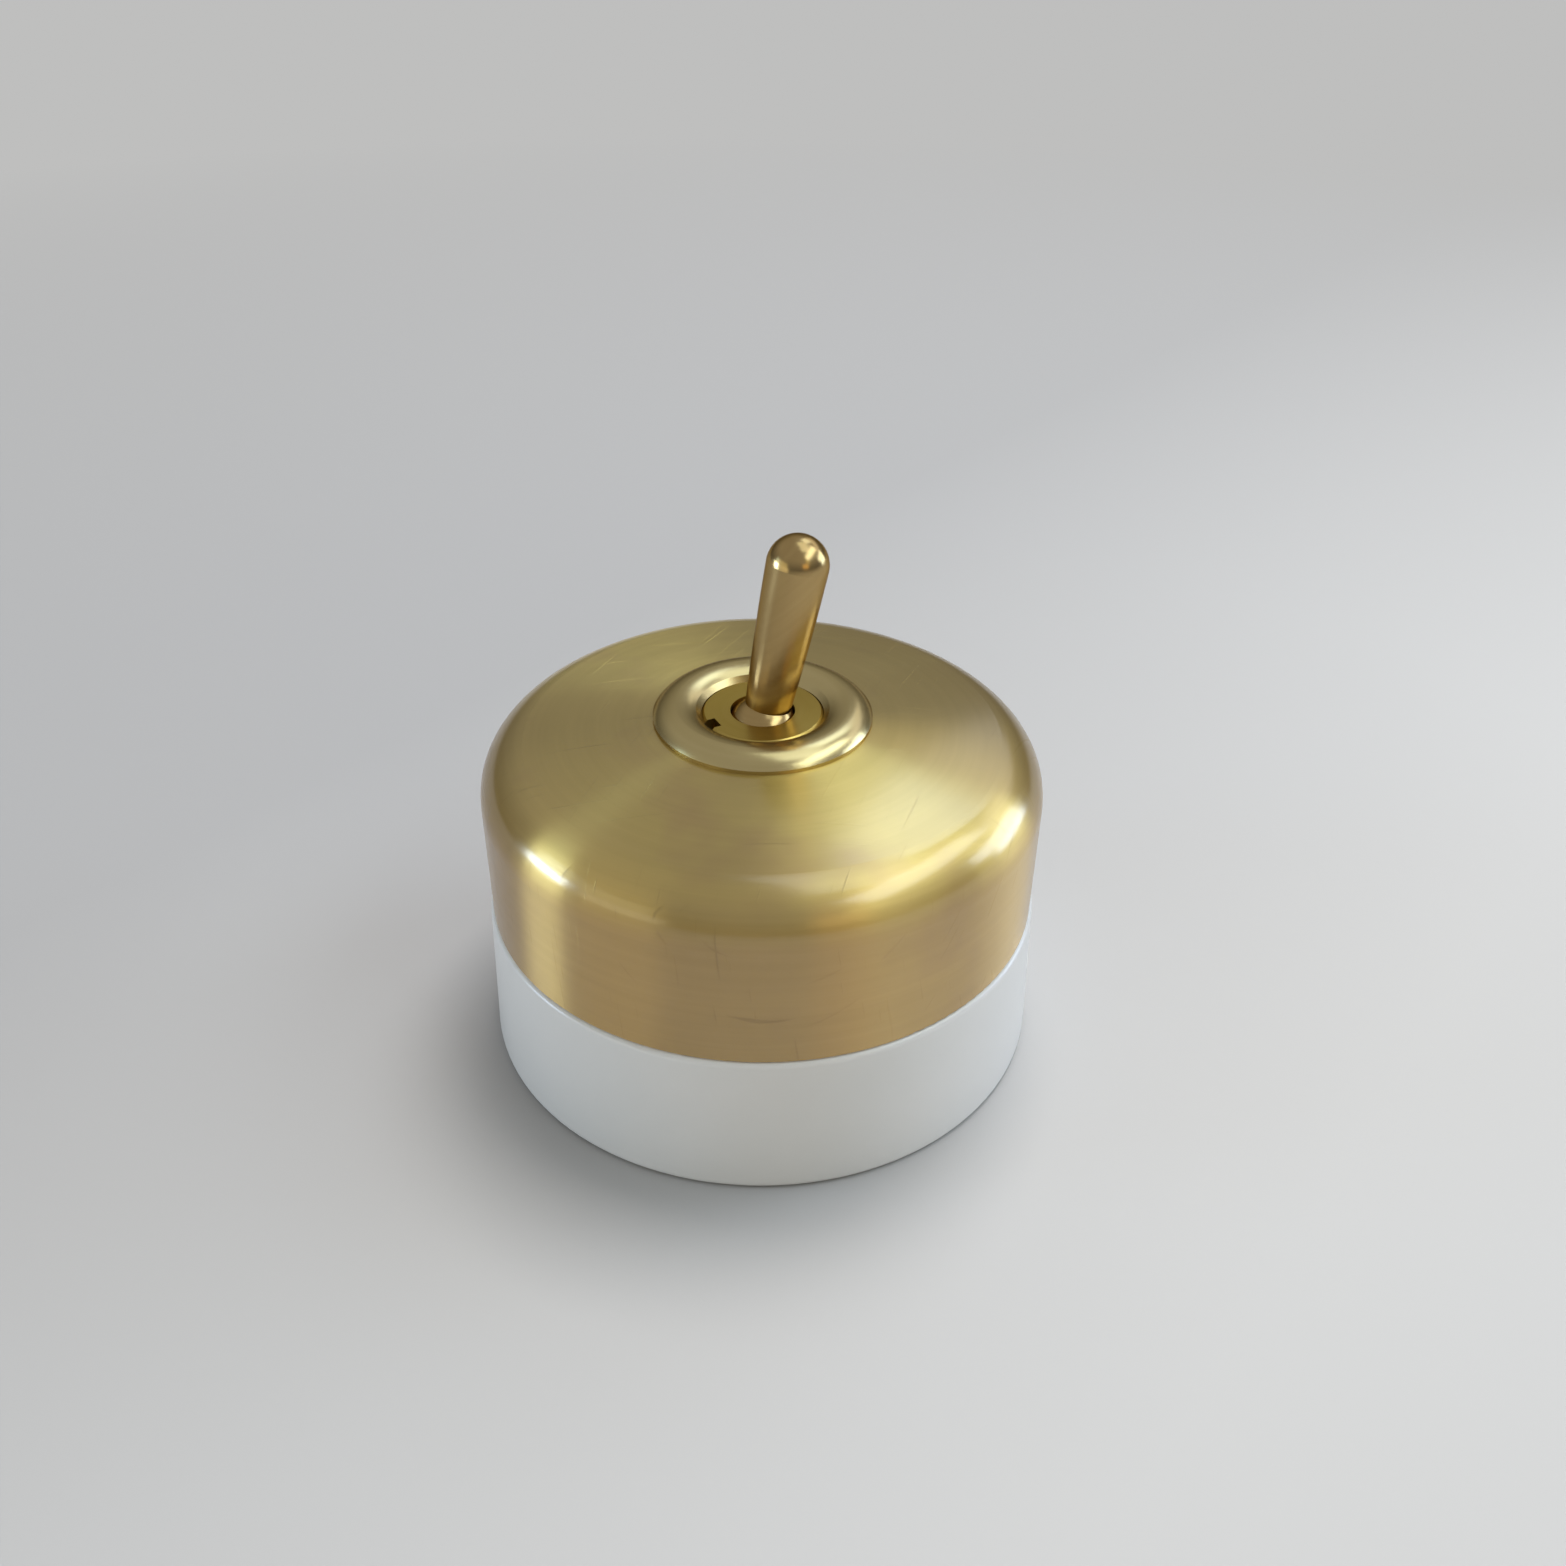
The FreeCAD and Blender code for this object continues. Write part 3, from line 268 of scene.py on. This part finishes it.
def plain_metal(name, colours, roughness):
    """Rolled or machined metal with faint blotches and rubbed marks."""
    shade = Shade(name)
    shade.set(Metallic=1.0)
    blotch = shade.spread(shade.noise(shade.place(), BLOTCH_SCALE, detail=4.0), *NOISE_RANGE)
    rubbed = shade.noise(shade.vector_math("MULTIPLY", shade.place(), RUB_SCALE), 1.0)
    shade.drive(
        Base_Color=shade.blend(blotch, *colours),
        Roughness=shade.spread(rubbed, *NOISE_RANGE, roughness * RUB_SMOOTH, roughness * RUB_ROUGH),
        Normal=shade.bump(rubbed, strength=0.3, distance=RUB_HEIGHT))
    return shade.material


# Glazed porcelain of the base
GLAZE_TONES = ((0.69, 0.69, 0.675), (0.73, 0.72, 0.70))
GLAZE_CLOUD_SCALE = 45.0
RIPPLE_SCALE = 130.0
RIPPLE_HEIGHT = 0.0004
SPECK_SCALE = 1800.0
SPECK_RANGE = (0.68, 0.8)
SPECK_HEIGHT = 0.00003


def glaze():
    """White porcelain under a glaze with a slow ripple and a few fine specks."""
    shade = Shade("glazed_porcelain")
    shade.set(Metallic=0.0, Roughness=0.3, IOR=1.5, Coat_Weight=0.15, Coat_Roughness=0.08)
    cloud = shade.spread(shade.noise(shade.place(), GLAZE_CLOUD_SCALE, detail=3.0), *NOISE_RANGE)
    speck = shade.spread(shade.noise(shade.place(), SPECK_SCALE, detail=1.0), *SPECK_RANGE)
    rippled = shade.bump(shade.noise(shade.place(), RIPPLE_SCALE), strength=0.25, distance=RIPPLE_HEIGHT)
    shade.drive(
        Base_Color=shade.blend(cloud, *GLAZE_TONES),
        Normal=shade.bump(speck, strength=0.15, distance=SPECK_HEIGHT, under=rippled))
    return shade.material


# Unglazed ceramic of the block inside
BLOCK_TONES = ((0.72, 0.70, 0.64), (0.80, 0.79, 0.75))
BLOCK_CLOUD_SCALE = 90.0
BLOCK_ROUGHNESS = (0.55, 0.8)
GRAIN_SCALE = 2500.0
GRAIN_HEIGHT = 0.00005


def bare_ceramic():
    """Matt ceramic with a fine grain."""
    shade = Shade("block_ceramic")
    cloud = shade.spread(shade.noise(shade.place(), BLOCK_CLOUD_SCALE, detail=4.0), *NOISE_RANGE)
    grain = shade.noise(shade.place(), GRAIN_SCALE, detail=3.0)
    shade.drive(
        Base_Color=shade.blend(cloud, *BLOCK_TONES),
        Roughness=shade.spread(grain, *NOISE_RANGE, *BLOCK_ROUGHNESS),
        Normal=shade.bump(grain, strength=0.4, distance=GRAIN_HEIGHT))
    return shade.material


# One material for each slot of the record
materials = {"glazed_porcelain": glaze(), "block_ceramic": bare_ceramic()}
for slot, values in BRASSES.items():
    materials[slot] = turned_metal(slot, **values)
for slot, values in PLAIN_METALS.items():
    materials[slot] = plain_metal(slot, *values)

for entry in frame["record"]["subparts"]:
    mesh = nodes[entry["node"]].data
    mesh.materials.clear()
    mesh.materials.append(materials[entry["material_slot"]])


# Floor: pale grey card with painted light and shade, darker towards one side and lighter towards the other,
# and plain farther out
CARD_SIZE = 12.0
CARD_DROP = 0.0001
CARD_TURN = math.radians(67.5)
CARD_SPAN = (-0.085, 0.07)    # metres from the object, from painted shade to painted light
# The card's tones at either end: painted shade on its darker side and painted light on its lighter side
CARD_PAINTED_SHADE = (0.33, 0.326, 0.327)
CARD_PAINTED_LIGHT = (0.45, 0.443, 0.437)
CARD_FADE = (0.15, 0.6)    # metres from the object, over which the plain tone takes over
CARD_FAR = (0.52, 0.52, 0.515)


def make_floor():
    """The card under the object, which takes its shadow, with painted light and shade across it."""
    bpy.ops.mesh.primitive_plane_add(size=CARD_SIZE, location=(0, 0, -CARD_DROP))
    card = bpy.context.object
    card.name = "floor"
    shade = Shade("floor_card")
    shade.set(Roughness=0.9, Specular_IOR_Level=0.0)
    turned = shade.add("ShaderNodeVectorRotate", {"Angle": CARD_TURN}, rotation_type="Z_AXIS")
    shade.join(shade.place(), turned.inputs["Vector"])
    sideways = shade.along_axes(turned.outputs[0])[0]
    # Painted light and shade: the card's colour goes from darker to lighter along one direction
    shade.drive(Base_Color=shade.blend(shade.spread(sideways, *CARD_SPAN), CARD_PAINTED_SHADE, CARD_PAINTED_LIGHT))
    path = shade.add("ShaderNodeLightPath")
    seen = shade.math("MAXIMUM", path.outputs["Is Camera Ray"], path.outputs["Is Glossy Ray"])
    seen = shade.math("MAXIMUM", seen, path.outputs["Is Transmission Ray"])
    length = shade.add("ShaderNodeVectorMath", operation="LENGTH")
    shade.join(shade.place(), length.inputs[0])
    far = shade.spread(length.outputs["Value"], *CARD_FADE)
    plain = shade.add("ShaderNodeEmission", {"Color": (*CARD_FAR, 1.0), "Strength": 1.0})
    mixed = shade.add("ShaderNodeMixShader")
    shade.join(shade.math("MULTIPLY", seen, far), mixed.inputs[0])
    shade.join(shade.surface.outputs[0], mixed.inputs[1])
    shade.join(plain.outputs[0], mixed.inputs[2])
    shade.join(mixed.outputs[0], shade.tree.nodes["Material Output"].inputs["Surface"])
    card.data.materials.append(shade.material)
    return card


floor = make_floor()


# Camera: where the photograph was taken from
PHOTO_SIZE = 1566
FOCAL_PIXELS = 1450
CAMERA_DISTANCE = 170.5 * MM
CAMERA_TURN = math.radians(-29.0)
CAMERA_RISE = math.radians(33.61)
CAMERA_ROLL = math.radians(0.70)
AIM_RIGHT = 2.405 * MM
AIM_HEIGHT = 31.53 * MM
SENSOR = 36.0    # millimetres across
NEAR_CLIP = 5 * MM


def make_camera():
    """A camera that looks down at a point a little to the right of the object's axis."""
    right = Vector((math.cos(CAMERA_TURN), math.sin(CAMERA_TURN), 0))
    ahead = Vector((-math.sin(CAMERA_TURN), math.cos(CAMERA_TURN), 0))
    forward = ahead * math.cos(CAMERA_RISE) - Vector((0, 0, math.sin(CAMERA_RISE)))
    above = right.cross(forward)
    aim = right * AIM_RIGHT + Vector((0, 0, AIM_HEIGHT))
    rolled_right = right * math.cos(CAMERA_ROLL) + above * math.sin(CAMERA_ROLL)
    rolled_above = above * math.cos(CAMERA_ROLL) - right * math.sin(CAMERA_ROLL)
    turn = Matrix((rolled_right, rolled_above, -forward)).transposed().to_4x4()
    data = bpy.data.cameras.new("photo_camera")
    data.sensor_fit = "HORIZONTAL"
    data.sensor_width = SENSOR
    data.lens = FOCAL_PIXELS / PHOTO_SIZE * SENSOR
    data.clip_start = NEAR_CLIP
    camera = bpy.data.objects.new("photo_camera", data)
    scene.collection.objects.link(camera)
    camera.matrix_world = Matrix.Translation(aim - forward * CAMERA_DISTANCE) @ turn
    scene.camera = camera


make_camera()


# Room: a surround that is dim at the horizon and brighter overhead
WORLD_COLOUR = (1.0, 0.985, 0.95)
WORLD_LEVEL = 0.47
WORLD_HORIZON = 0.2    # share of the level that is left at the horizon
WORLD_FULL = 0.6    # where the full level is reached, from 0 at the horizon to 1 overhead


def make_world():
    """The light that comes from everywhere, weaker from low down."""
    world = bpy.data.worlds.new("room")
    world.use_nodes = True
    scene.world = world
    tree = world.node_tree
    background = tree.nodes["Background"]
    background.inputs["Color"].default_value = (*WORLD_COLOUR, 1)
    direction = tree.nodes.new("ShaderNodeTexCoord")
    parts = tree.nodes.new("ShaderNodeSeparateXYZ")
    tree.links.new(direction.outputs["Generated"], parts.inputs[0])
    rise = tree.nodes.new("ShaderNodeMapRange")
    tree.links.new(parts.outputs["Z"], rise.inputs["Value"])
    rise.inputs["From Max"].default_value = WORLD_FULL
    rise.inputs["To Min"].default_value = WORLD_LEVEL * WORLD_HORIZON
    rise.inputs["To Max"].default_value = WORLD_LEVEL
    tree.links.new(rise.outputs["Result"], background.inputs["Strength"])


make_world()


# Soft windows and bright walls round the object.
# Each has its name, its turn, rise, width and height in degrees, its level and its colour.
LAMPS = (
    ("window_left", -84.5, 5.5, 19, 11, 11.4, (0.61, 0.78, 1.0)),
    ("window_left_upper", -85, 18, 12, 13, 1.6, (0.45, 0.70, 1.0)),
    ("wall_left_low", -51, 6, 34, 11, 0.92, (1.0, 0.98, 0.76)),
    ("wall_left", -60, 18.5, 40, 13, 0.53, (1.0, 1.0, 0.68)),
    ("window_right", 109, 6, 22, 11, 5.3, (0.54, 0.71, 1.0)),
    ("window_right_upper", 105, 18.5, 30, 13, 3.7, (0.66, 0.80, 1.0)),
    ("wall_right_back", 136, 32, 44, 15, 0.72, (0.85, 0.88, 1.0)),
    ("ceiling_right", 81, 49, 54, 18, 2.5, (0.82, 0.94, 1.0)),
    ("ceiling_top", 112, 72, 40, 26, 1.1, (0.80, 0.93, 1.0)),
    ("ceiling_back", 153, 49, 18, 18, 2.0, (0.66, 0.81, 1.0)),
    ("front_right", 42, 32, 13, 15, 0.38, (1.0, 0.93, 0.3)),
    ("front_right_low", 30, 18.5, 20, 13, 0.9, (1.0, 0.65, 0.2)),
)
FLOOR_LAMP = ("floor_light", 155, 72, 24, 24, 10.4, (1.0, 0.97, 0.95))
LAMP_DISTANCE = 1.2
LAMP_AIM = Vector((0, 0, 25 * MM))
POWER_PER_AREA = 4    # watts per square metre of lamp at level 1


def window(name, turn, rise, wide, high, level, colour):
    """A soft lamp, its place and size in degrees seen from the object.

    Turn 0 is the side where the camera is, and positive turns are to the camera's right.
    """
    angle = CAMERA_TURN + math.radians(turn)
    lift = math.radians(rise)
    away = Vector((math.sin(angle) * math.cos(lift), -math.cos(angle) * math.cos(lift), math.sin(lift)))
    data = bpy.data.lights.new(name, "AREA")
    data.shape = "RECTANGLE"
    data.size = 2 * LAMP_DISTANCE * math.tan(math.radians(wide / 2))
    data.size_y = 2 * LAMP_DISTANCE * math.tan(math.radians(high / 2))
    data.energy = level * POWER_PER_AREA * data.size * data.size_y
    data.color = colour
    lamp = bpy.data.objects.new(name, data)
    scene.collection.objects.link(lamp)
    lamp.visible_camera = False
    lamp.location = LAMP_AIM + away * LAMP_DISTANCE
    lamp.rotation_euler = (-away).to_track_quat("-Z", "Y").to_euler()
    return lamp


def light_only(lamp, thing):
    """Let a lamp shine on one thing alone, with the shadows that other things throw on it."""
    lit = bpy.data.collections.new(lamp.name + "_lights")
    lit.objects.link(thing)
    lamp.light_linking.receiver_collection = lit


for lamp_values in LAMPS:
    window(*lamp_values)
light_only(window(*FLOOR_LAMP), floor)

scene.view_settings.view_transform = "Standard"
